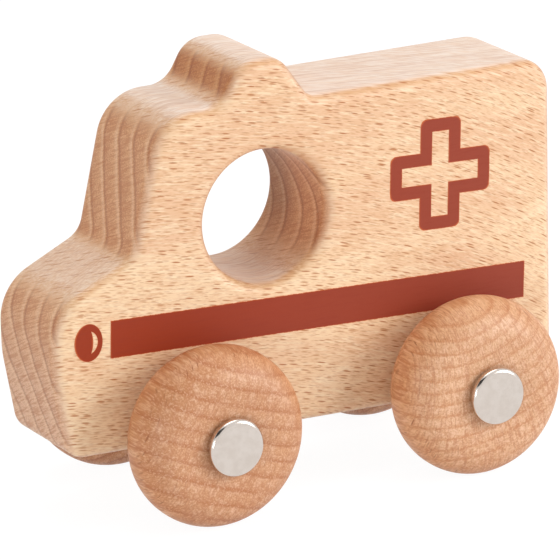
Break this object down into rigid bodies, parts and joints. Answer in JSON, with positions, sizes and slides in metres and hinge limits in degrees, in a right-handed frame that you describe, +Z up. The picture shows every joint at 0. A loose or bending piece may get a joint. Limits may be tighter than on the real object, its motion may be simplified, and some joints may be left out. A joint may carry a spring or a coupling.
{
  "type": "toy ambulance",
  "caption": "Wooden push-along toy ambulance: a thick rounded plank body with a round grip hole and roof light, turned wheels on steel axles with push-on caps, and printed markings.",
  "frame": {"origin": "on the floor, under the middle of the body's length and width", "axes": "+Z up, the vehicle's nose along -X, its left side along -Y, the axles along Y"},
  "size_m": [0.1284, 0.0728, 0.1018],
  "materials": {
    "beech_block": "sanded pale beech with a thin oil or wax finish",
    "turned_beech": "turned and sanded beech, a little darker and redder than the body",
    "red_ink": "thin matt brick-red printing ink",
    "steel_rod": "drawn steel rod",
    "spring_steel": "plain spring steel",
    "bright_steel": "bright plated sheet steel with a soft polish"
  },
  "bodies": {
    "body": {"body_block": "beech_block", "left_stripe": "red_ink", "left_cross": "red_ink", "left_headlight": "red_ink", "right_stripe": "red_ink", "right_cross": "red_ink", "right_headlight": "red_ink"},
    "front_axle_set": {"front_axle": "steel_rod", "front_left_retainer": "spring_steel", "front_right_retainer": "spring_steel", "front_left_cap": "bright_steel", "front_right_cap": "bright_steel"},
    "rear_axle_set": {"rear_axle": "steel_rod", "rear_left_retainer": "spring_steel", "rear_right_retainer": "spring_steel", "rear_left_cap": "bright_steel", "rear_right_cap": "bright_steel"},
    "front_left_wheel": {"front_left_wheel": "turned_beech"},
    "front_right_wheel": {"front_right_wheel": "turned_beech"},
    "rear_left_wheel": {"rear_left_wheel": "turned_beech"},
    "rear_right_wheel": {"rear_right_wheel": "turned_beech"}
  },
  "joints": [
    {"name": "front_axle_spin", "type": "hinge", "parent": "body", "child": "front_axle_set", "pos_m": [-0.03035, 0, 0.0208], "axis": [0, -1, 0], "continuous": true},
    {"name": "rear_axle_spin", "type": "hinge", "parent": "body", "child": "rear_axle_set", "pos_m": [0.0369, 0, 0.0208], "axis": [0, -1, 0], "continuous": true},
    {"name": "front_left_wheel_spin", "type": "hinge", "parent": "front_axle_set", "child": "front_left_wheel", "pos_m": [-0.03035, -0.025, 0.0208], "axis": [0, -1, 0], "continuous": true},
    {"name": "front_right_wheel_spin", "type": "hinge", "parent": "front_axle_set", "child": "front_right_wheel", "pos_m": [-0.03035, 0.025, 0.0208], "axis": [0, -1, 0], "continuous": true},
    {"name": "rear_left_wheel_spin", "type": "hinge", "parent": "rear_axle_set", "child": "rear_left_wheel", "pos_m": [0.0369, -0.025, 0.0208], "axis": [0, -1, 0], "continuous": true},
    {"name": "rear_right_wheel_spin", "type": "hinge", "parent": "rear_axle_set", "child": "rear_right_wheel", "pos_m": [0.0369, 0.025, 0.0208], "axis": [0, -1, 0], "continuous": true}
  ]
}
